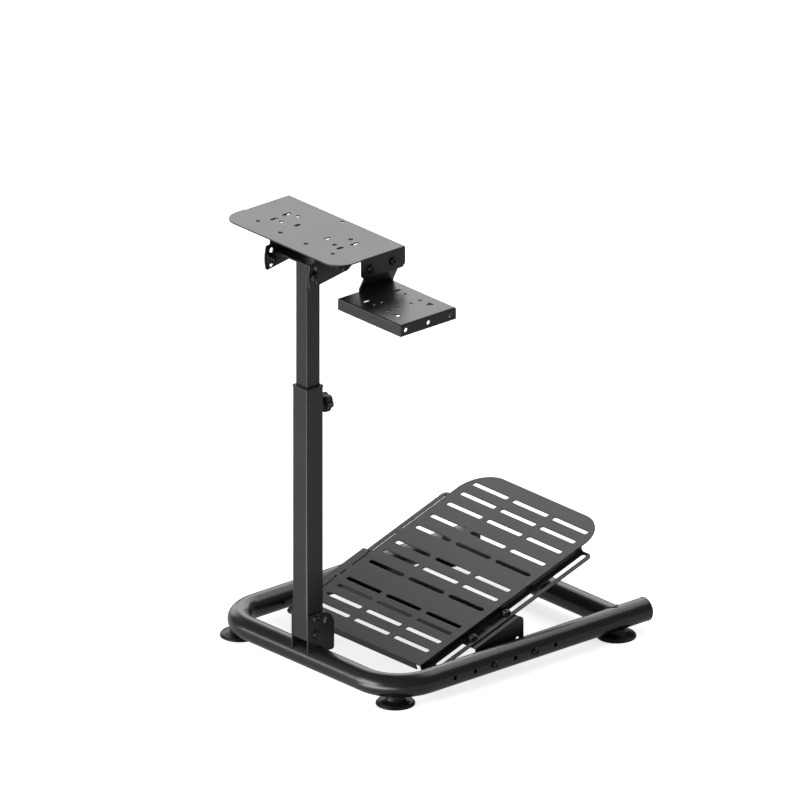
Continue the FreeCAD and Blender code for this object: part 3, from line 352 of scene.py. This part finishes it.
FINISHES = {
    "tube_paint": coated("Satin Black Tube Coat", dark=21, light=27, gloss=0.26, spread=0.06,
                         grain=1300.0, depth=0.00002, edge=0.0006, edge_highlight=40, specular=0.5),
    "mast_paint": coated("Satin Black Mast Coat", dark=21, light=27, gloss=0.28, spread=0.06,
                         grain=1300.0, depth=0.00002, edge=0.0012, edge_highlight=40, specular=0.5),
    "sheet_paint": coated("Satin Black Sheet Coat", dark=22, light=29, gloss=0.30, spread=0.08,
                          grain=1500.0, depth=0.00003, edge=0.0007, edge_highlight=46, specular=0.5),
    "fastener": coated("Black Zinc", dark=18, light=34, gloss=0.18, spread=0.10, grain=1100.0,
                       depth=0.00001, edge=0.0004, edge_highlight=120, specular=0.6, metal=0.4),
    "plastic": coated("Moulded Black Plastic", dark=20, light=26, gloss=0.42, spread=0.12,
                      grain=1700.0, depth=0.00005, edge=0.0006, edge_highlight=40, specular=0.45),
    "rubber_foot": coated("Matt Black Rubber", dark=8, light=15, gloss=0.40, spread=0.12,
                          grain=1200.0, depth=0.00005, edge=0.0008, edge_highlight=44, specular=0.35),
}
WELD_COAT = coated("Black Coat Over Welds", dark=14, light=20, gloss=0.44, spread=0.12,
                   grain=1000.0, depth=0.00005, edge=0.0004, edge_highlight=26, specular=0.35)


def dress_frame():
    """Gives every frame node the finish of its slot."""
    for part in frame["record"]["subparts"]:
        node = NODES[part["node"]]
        node.data.materials.clear()
        node.data.materials.append(FINISHES[part["material_slot"]])


# Places and pieces

def stand_point(x, y, z):
    """A point of the stand, given in millimetres from the mast's axis and the floor."""
    return (Vector((x, y, z)) - MAST_AXIS) * MM


def slope_point(x, up, off):
    """A point in the pedal deck's sloping frame, up its slope and off its top face."""
    y = PEDAL_FRONT[0] + up * math.cos(PEDAL_SLOPE) - off * math.sin(PEDAL_SLOPE)
    z = PEDAL_FRONT[1] + up * math.sin(PEDAL_SLOPE) + off * math.cos(PEDAL_SLOPE)
    return stand_point(x, y, z)


def arc_points(start, stop, steps, point):
    """Points at even steps of an angle in degrees."""
    found = []
    for step in range(steps + 1):
        turn = math.radians(start + (stop - start) * step / steps)
        found.append(point(turn))
    return found


def settle(piece, name, body, slot, finish=None):
    """Applies a finished piece's place, names it and sets it on its body with its finish."""
    deselect_all()
    piece.select_set(True)
    bpy.context.view_layer.objects.active = piece
    bpy.ops.object.transform_apply(location=True, rotation=True, scale=True)
    piece.name = name
    piece.data.name = name
    piece.data.materials.clear()
    piece.data.materials.append(finish or FINISHES[slot])
    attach(piece, body)
    deselect_all()


def join_all(pieces):
    """Joins several pieces into the first of them."""
    deselect_all()
    for piece in pieces:
        piece.select_set(True)
    bpy.context.view_layer.objects.active = pieces[0]
    bpy.ops.object.join()
    return bpy.context.object


def copy_of(piece):
    """A copy with its own mesh."""
    deselect_all()
    piece.select_set(True)
    bpy.context.view_layer.objects.active = piece
    bpy.ops.object.duplicate(linked=False)
    return bpy.context.object


def stand_on(piece, point, axis):
    """Moves a piece made at the origin about Z to a point, with Z turned to an axis."""
    piece.rotation_euler = Vector(axis).to_track_quat("Z", "Y").to_euler()
    piece.location = point


def select_faces(piece, test):
    """Leaves the piece in edit mode with only the faces selected that pass a test."""
    bpy.ops.object.mode_set(mode="EDIT")
    bpy.ops.mesh.select_mode(type="FACE")
    bpy.ops.mesh.select_all(action="DESELECT")
    bpy.ops.object.mode_set(mode="OBJECT")
    for face in piece.data.polygons:
        face.select = test(face)
    bpy.ops.object.mode_set(mode="EDIT")


def select_edges(piece, test):
    """Leaves the piece in edit mode with only the edges selected whose two ends pass a test."""
    bpy.ops.object.mode_set(mode="EDIT")
    bpy.ops.mesh.select_mode(type="EDGE")
    bpy.ops.mesh.select_all(action="DESELECT")
    bpy.ops.object.mode_set(mode="OBJECT")
    points = piece.data.vertices
    for edge in piece.data.edges:
        edge.select = all(test(points[index].co) for index in edge.vertices)
    bpy.ops.object.mode_set(mode="EDIT")


def ring(inner, outer, height, around=40):
    """A flat ring about Z with a hole and softened rims, standing on the origin."""
    deselect_all()
    bpy.ops.mesh.primitive_cylinder_add(vertices=around, radius=outer, depth=height,
                                        location=(0, 0, height / 2))
    piece = bpy.context.object
    bpy.ops.object.transform_apply(location=True, rotation=True, scale=True)
    select_faces(piece, lambda face: abs(face.normal.z) > FLAT)
    bpy.ops.mesh.inset(thickness=outer - inner)
    bpy.ops.mesh.bridge_edge_loops()
    bpy.ops.mesh.select_all(action="DESELECT")
    bpy.ops.mesh.select_mode(type="EDGE")
    bpy.ops.mesh.edges_select_sharp(sharpness=SHARP_ANGLE)
    bpy.ops.mesh.bevel(offset=height * RING_EDGE, segments=2)
    bpy.ops.object.mode_set(mode="OBJECT")
    bpy.ops.object.shade_smooth_by_angle(angle=SMOOTH_ANGLE)
    return piece


# Welds

def path_through(name, points, closed):
    """A curve of straight runs through points, for a bead to follow."""
    curve = bpy.data.curves.new(name, "CURVE")
    curve.dimensions = "3D"
    line = curve.splines.new("POLY")
    line.points.add(len(points) - 1)
    for knot, point in zip(line.points, points):
        knot.co = (*point, 1.0)
    line.use_cyclic_u = closed
    path = bpy.data.objects.new(name, curve)
    bpy.context.scene.collection.objects.link(path)
    return path


def bead(name, points, body, slot, radius=BEAD_RADIUS, closed=False):
    """A weld bead: one ripple of metal, repeated along the joint."""
    path = path_through(name + "_path", points, closed)
    deselect_all()
    bpy.ops.mesh.primitive_uv_sphere_add(segments=10, ring_count=6, radius=radius)
    ripple = bpy.context.object
    bpy.ops.object.mode_set(mode="EDIT")
    bpy.ops.mesh.select_all(action="SELECT")
    bpy.ops.transform.rotate(value=math.pi / 2, orient_axis="Y", center_override=(0, 0, 0))
    bpy.ops.transform.resize(value=(RIPPLE_LENGTH, 1.0, 1.0), center_override=(0, 0, 0))
    bpy.ops.object.mode_set(mode="OBJECT")
    bpy.ops.object.shade_smooth()
    run = ripple.modifiers.new("Ripples", "ARRAY")
    run.fit_type = "FIT_CURVE"
    run.curve = path
    run.use_relative_offset = False
    run.use_constant_offset = True
    run.constant_offset_displace = (radius * RIPPLE_STEP, 0.0, 0.0)
    follow = ripple.modifiers.new("Follow", "CURVE")
    follow.object = path
    follow.deform_axis = "POS_X"
    bpy.ops.object.modifier_apply(modifier="Ripples")
    bpy.ops.object.modifier_apply(modifier="Follow")
    bpy.data.objects.remove(path)
    settle(ripple, name, body, slot, WELD_COAT)


def weld_cross_tube(name, side):
    """A bead round the cross tube's end, on the side tube's round face."""

    def saddle(turn):
        reach = RAIL - TUBE_RADIUS * abs(math.cos(turn))
        return stand_point(side * reach, CROSS_TUBE + TUBE_RADIUS * math.cos(turn),
                           TUBE_HEIGHT + TUBE_RADIUS * math.sin(turn))

    bead("cross_tube_weld_" + name, arc_points(*CROSS_TUBE_ARC, saddle), "floor_frame", "tube_paint")


def weld_ear(name, side):
    """A bead along the ear's foot, over the front tube."""

    def ear_foot(turn):
        reach = TUBE_RADIUS + BEAD_SEAT
        return stand_point(side * (EAR_FACE + BEAD_LIFT), reach * math.cos(turn),
                           TUBE_HEIGHT + reach * math.sin(turn))

    bead("ear_weld_" + name, arc_points(*EAR_ARC, ear_foot), "floor_frame", "sheet_paint")


def weld_side_plate(name, side):
    """Short beads between the tilting head's side plate and the wheel deck."""
    for number, stretch in enumerate(SIDE_PLATE_WELDS):
        ends = [stand_point(side * SIDE_PLATE_EDGE, y, DECK_UNDERSIDE) for y in stretch]
        label = "side_plate_weld_%s_%d" % (name, number + 1)
        bead(label, ends, "wheel_deck_body", "sheet_paint", SMALL_BEAD)


def weld_clamp_nut():
    """A bead round the clamp nut, on the lower mast."""

    def round_nut(turn):
        return stand_point(NUT_CORNER * math.cos(turn), MAST_HALF + BEAD_LIFT,
                           KNOB_HEIGHT + NUT_CORNER * math.sin(turn))

    bead("clamp_nut_weld", arc_points(*NUT_ARC, round_nut), "floor_frame", "mast_paint",
         NUT_BEAD, closed=True)


def weld_yoke():
    """A bead round the upper mast, under the yoke."""
    corner = INNER_HALF + BEAD_SEAT
    turns = ((0, -corner), (corner, -corner), (corner, corner), (-corner, corner),
             (-corner, -corner), (0, -corner))
    square = [stand_point(x, y, YOKE_UNDERSIDE) for x, y in turns]
    bead("yoke_weld", square, "upper_mast_body", "sheet_paint", SMALL_BEAD)


def build_welds():
    for name, side in SIDES:
        weld_cross_tube(name, side)
        weld_ear(name, side)
        weld_side_plate(name, side)
    weld_clamp_nut()
    weld_yoke()


# Washers and threads

def thread():
    """The ridge of a screw thread about Z, standing on the origin."""
    deselect_all()
    bpy.ops.mesh.primitive_circle_add(vertices=3, radius=THREAD_DEPTH, fill_type="NOTHING",
                                      location=(THREAD_RADIUS, 0, THREAD_START),
                                      rotation=(math.pi / 2, 0, 0))
    piece = bpy.context.object
    bpy.ops.object.transform_apply(location=True, rotation=True, scale=True)
    turn = piece.modifiers.new("Turn", "SCREW")
    turn.axis = "Z"
    turn.angle = THREAD_TURN
    turn.screw_offset = THREAD_PITCH
    turn.steps = 30
    turn.use_normal_calculate = True
    bpy.ops.object.modifier_apply(modifier="Turn")
    bpy.ops.object.mode_set(mode="EDIT")
    bpy.ops.mesh.select_all(action="SELECT")
    bpy.ops.mesh.remove_doubles(threshold=CLOSE)
    bpy.ops.mesh.fill_holes(sides=3)
    bpy.ops.mesh.normals_make_consistent(inside=False)
    bpy.ops.object.mode_set(mode="OBJECT")
    bpy.ops.object.shade_smooth_by_angle(angle=SMOOTH_ANGLE)
    return piece


def bolt_rows():
    """Each row of bolts: its name, its body, which way the heads face, and each bolt's places
    under its head and its nut. A bolt whose head sits on a round tube has no washer there."""
    along = Vector((1, 0, 0))
    off = Vector((0, -math.sin(PEDAL_SLOPE), math.cos(PEDAL_SLOPE)))

    def across(side, head, nut, y, z):
        return stand_point(side * head, y, z), stand_point(side * nut, y, z)

    mast = [across(1, EAR_FACE, -EAR_FACE, 0, z) for z in MAST_BOLTS]
    rows = [("mast_bolt", "floor_frame", along, mast)]
    for name, side in SIDES:
        tilt = [across(side, TILT_HEAD, TILT_NUT, y, TILT_HEIGHT) for y in TILT_BOLTS]
        lip = [(slope_point(side * LIP_LINE, up, LIP_HEAD), slope_point(side * LIP_LINE, up, LIP_NUT))
               for up in LIP_BOLTS]
        rail = [(None, stand_point(side * RAIL_NUT, y, TUBE_HEIGHT)) for y in RAIL_BOLTS]
        rows.append(("tilt_" + name, "upper_mast_body", along * side, tilt))
        rows.append(("lip_" + name, "floor_frame", off, lip))
        rows.append(("rail_" + name, "floor_frame", along * side, rail))
    deck = [across(1, DECK_BOLT_HEAD, DECK_BOLT_NUT, y, DECK_BOLT_HEIGHT) for y in BRACKET_BOLTS]
    tray = [across(1, TRAY_BOLT_HEAD, TRAY_BOLT_NUT, y, TRAY_BOLT_HEIGHT) for y in BRACKET_BOLTS]
    rows.append(("bracket_deck", "wheel_deck_body", along, deck))
    rows.append(("bracket_tray", "wheel_deck_body", -along, tray))
    return rows


def build_fasteners():
    """A washer under each head and nut, and the thread on each bolt's end."""
    washer = ring(WASHER_BORE, WASHER_RADIUS, WASHER_HEIGHT)
    screw = thread()
    for name, body, way, places in bolt_rows():
        rings = []
        ends = []
        for head, nut in places:
            if head is not None:
                piece = copy_of(washer)
                stand_on(piece, head, way)
                rings.append(piece)
            piece = copy_of(washer)
            stand_on(piece, nut, -way)
            rings.append(piece)
            piece = copy_of(screw)
            stand_on(piece, nut - way * NUT_HEIGHT, -way)
            ends.append(piece)
        settle(join_all(rings), name + "_washers", body, "fastener")
        settle(join_all(ends), name + "_threads", body, "fastener")
    bpy.data.objects.remove(washer)
    bpy.data.objects.remove(screw)


# Mouldings

def build_collar_lip():
    """The raised lip round the collar's bore."""
    deselect_all()
    outer = (INNER_HALF + LIP_REACH) * 2 * MM
    thickness = LIP_THICKNESS * MM
    middle = stand_point(0, 0, COLLAR_TOP + LIP_THICKNESS / 2)
    bpy.ops.mesh.primitive_cube_add(size=1.0, location=middle)
    lip = bpy.context.object
    lip.scale = (outer, outer, thickness)
    bpy.ops.object.transform_apply(location=False, rotation=False, scale=True)
    select_faces(lip, lambda face: abs(face.normal.z) > FLAT)
    bpy.ops.mesh.inset(thickness=LIP_WIDTH * MM)
    bpy.ops.mesh.bridge_edge_loops()
    bpy.ops.mesh.select_all(action="SELECT")
    bpy.ops.mesh.select_mode(type="EDGE")
    bpy.ops.mesh.bevel(offset=LIP_EDGE, segments=2)
    bpy.ops.object.mode_set(mode="OBJECT")
    settle(lip, "collar_lip", "floor_frame", "plastic")


def build_knob_plug():
    """The dished plug in the knob's face."""
    bpy.ops.mesh.primitive_cylinder_add(vertices=48, radius=PLUG_RADIUS, depth=PLUG_HEIGHT)
    plug = bpy.context.object
    select_faces(plug, lambda face: face.normal.z > FLAT)
    bpy.ops.mesh.inset(thickness=PLUG_RIM)
    bpy.ops.transform.translate(value=(0, 0, PLUG_RISE))
    bpy.ops.mesh.inset(thickness=PLUG_DISH_EDGE)
    bpy.ops.transform.translate(value=(0, 0, -PLUG_DISH))
    bpy.ops.object.mode_set(mode="OBJECT")
    bpy.ops.object.shade_smooth_by_angle(angle=SMOOTH_ANGLE)
    stand_on(plug, stand_point(0, KNOB_FACE, KNOB_HEIGHT), (0, 1, 0))
    settle(plug, "knob_plug", "knob_body", "plastic")


def build_foot_lips():
    """The lip round the edge of each rubber foot."""
    lip = ring(FOOT_LIP_INNER, FOOT_LIP_OUTER, FOOT_LIP_HEIGHT, around=96)
    for name in FEET:
        low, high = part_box(name)
        piece = copy_of(lip)
        piece.location = ((low[0] + high[0]) / 2, (low[1] + high[1]) / 2, FOOT_LIP_PLACE)
        settle(piece, name + "_lip", "floor_frame", "rubber_foot")
    bpy.data.objects.remove(lip)


# The cross plate

def build_cross_plate():
    """The folded plate that joins the two pedal brackets' flanges under the pedal deck."""
    deselect_all()
    length = (PLATE_BACK - PLATE_FRONT) * MM
    middle = (PLATE_BACK + PLATE_FRONT) / 2 * MM
    top = FLANGE_TOP * MM
    sheet = FLANGE_SHEET * MM
    bpy.ops.mesh.primitive_cube_add(size=1.0, location=(0, middle, top - sheet / 2))
    plate = bpy.context.object
    plate.scale = (FLANGE_INSIDE * 2 * MM, length, sheet)
    bpy.ops.object.transform_apply(location=True, rotation=True, scale=True)
    inside = length / 2 - sheet
    bpy.ops.object.mode_set(mode="EDIT")
    for cut in (middle - inside, middle + inside):
        bpy.ops.mesh.select_all(action="SELECT")
        bpy.ops.mesh.bisect(plane_co=(0, cut, 0), plane_no=(0, 1, 0))
    bpy.ops.object.mode_set(mode="OBJECT")

    def is_end_strip(face):
        return face.normal.z < -FLAT and abs(face.center.y - middle) > inside

    select_faces(plate, is_end_strip)
    down = (0, 0, sheet - PLATE_FOLD * MM)
    bpy.ops.mesh.extrude_region_move(TRANSFORM_OT_translate={"value": down})
    bpy.ops.object.mode_set(mode="OBJECT")
    for height, reach, radius in ((top, length / 2, OUTER_BEND), (top - sheet, inside, INNER_BEND)):

        def is_on_bend(point):
            return abs(point.z - height) < CLOSE and abs(abs(point.y - middle) - reach) < CLOSE

        select_edges(plate, is_on_bend)
        bpy.ops.mesh.bevel(offset=radius * MM, segments=5)
        bpy.ops.object.mode_set(mode="OBJECT")
    soft = plate.modifiers.new("Soft Edges", "BEVEL")
    soft.width = SHEET_EDGE
    soft.segments = 2
    soft.limit_method = "ANGLE"
    soft.angle_limit = SHARP_ANGLE
    bpy.ops.object.modifier_apply(modifier="Soft Edges")
    bpy.ops.object.shade_smooth_by_angle(angle=SMOOTH_ANGLE)
    plate.rotation_euler = (PEDAL_SLOPE, 0, 0)
    plate.location = slope_point(0, 0, 0)
    settle(plate, "pedal_cross_plate", "floor_frame", "sheet_paint")
    for name, side in SIDES:
        ends = [slope_point(side * FLANGE_INSIDE, up, FLANGE_TOP - FLANGE_SHEET) for up in PLATE_WELD]
        bead("cross_plate_weld_" + name, ends, "floor_frame", "sheet_paint")


# Studio

def build_floor():
    """A pale floor that is bright to the camera and dimmer to what it lights; in reflections it has a
    painted glow, brighter towards the front left.
    """
    bpy.ops.mesh.primitive_plane_add(size=FLOOR_SIZE, location=(0, 0, 0))
    floor = bpy.context.object
    floor.name = "studio_floor"
    bpy.ops.object.transform_apply(location=True, rotation=True, scale=True)
    material = bpy.data.materials.new("Pale Floor")
    material.use_nodes = True
    tree = material.node_tree
    shader = tree.nodes["Principled BSDF"]
    shader.inputs["Roughness"].default_value = FLOOR_ROUGHNESS
    shader.inputs["Specular IOR Level"].default_value = 0.0
    shader.inputs["Emission Color"].default_value = (1.0, 1.0, 1.0, 1.0)
    ray = tree.nodes.new("ShaderNodeLightPath")
    shade = tree.nodes.new("ShaderNodeMix")
    shade.data_type = "RGBA"
    shade.inputs["A"].default_value = (FLOOR_BOUNCE, FLOOR_BOUNCE, FLOOR_BOUNCE, 1.0)
    shade.inputs["B"].default_value = (FLOOR_SEEN, FLOOR_SEEN, FLOOR_SEEN, 1.0)
    tree.links.new(ray.outputs["Is Camera Ray"], shade.inputs["Factor"])
    tree.links.new(shade.outputs["Result"], shader.inputs["Base Color"])
    seen = add_math(tree, "MULTIPLY", ray.outputs["Is Camera Ray"], FLOOR_GLOW)
    # Painted reflection: a glow seen only by glossy rays, brighter towards the front left
    where = tree.nodes.new("ShaderNodeTexCoord")
    across = tree.nodes.new("ShaderNodeVectorMath")
    across.operation = "DOT_PRODUCT"
    across.inputs[1].default_value = GLOW_WAY
    tree.links.new(where.outputs["Object"], across.inputs[0])
    fade = tree.nodes.new("ShaderNodeMapRange")
    fade.inputs["From Min"].default_value = -GLOW_REACH
    fade.inputs["From Max"].default_value = GLOW_REACH
    fade.inputs["To Min"].default_value = MIRRORED_GLOW[0]
    fade.inputs["To Max"].default_value = MIRRORED_GLOW[1]
    tree.links.new(across.outputs["Value"], fade.inputs["Value"])
    mirrored = add_math(tree, "MULTIPLY", fade.outputs["Result"], ray.outputs["Is Glossy Ray"])
    glow = add_math(tree, "ADD", seen, mirrored)
    tree.links.new(glow, shader.inputs["Emission Strength"])
    floor.data.materials.append(material)
    deselect_all()


def build_world():
    """White air behind the stand, and soft light from all round."""
    world = bpy.data.worlds.new("Studio Air")
    world.use_nodes = True
    tree = world.node_tree
    sky = tree.nodes["Background"]
    sky.inputs["Color"].default_value = (1.0, 1.0, 1.0, 1.0)
    ray = tree.nodes.new("ShaderNodeLightPath")
    extra = add_math(tree, "MULTIPLY", ray.outputs["Is Camera Ray"], AIR_SEEN - AIR_LIGHT)
    strength = add_math(tree, "ADD", extra, AIR_LIGHT)
    tree.links.new(strength, sky.inputs["Strength"])
    bpy.context.scene.world = world


def build_lamps():
    """Soft lamps round the stand, and low cards on the floor that the tubes mirror."""
    for name, place, aim, width, height, power in LAMPS:
        lamp = bpy.data.lights.new(name + "_lamp", "AREA")
        lamp.shape = "RECTANGLE"
        lamp.size = width
        lamp.size_y = height
        lamp.energy = power
        holder = bpy.data.objects.new(name + "_lamp", lamp)
        holder.location = place
        holder.visible_camera = False
        way = Vector(aim) - Vector(place)
        holder.rotation_euler = way.to_track_quat("-Z", "Y").to_euler()
        bpy.context.scene.collection.objects.link(holder)


def build_camera():
    """The photo's view, without perspective."""
    lens = bpy.data.cameras.new("view")
    lens.type = "ORTHO"
    lens.ortho_scale = VIEW_WIDTH
    lens.clip_end = VIEW_END
    camera = bpy.data.objects.new("view", lens)
    back = Vector((
        math.sin(VIEW_TURN) * math.cos(VIEW_RISE),
        -math.cos(VIEW_TURN) * math.cos(VIEW_RISE),
        math.sin(VIEW_RISE),
    ))
    camera.location = VIEW_CENTRE + back * VIEW_DISTANCE
    camera.rotation_euler = (-back).to_track_quat("-Z", "Y").to_euler()
    bpy.context.scene.collection.objects.link(camera)
    bpy.context.scene.camera = camera


deselect_all()
build_camera()
build_world()
build_lamps()
build_floor()
dress_frame()
build_welds()
build_fasteners()
build_collar_lip()
build_knob_plug()
build_foot_lips()
build_cross_plate()
bpy.context.scene.view_settings.view_transform = "Standard"
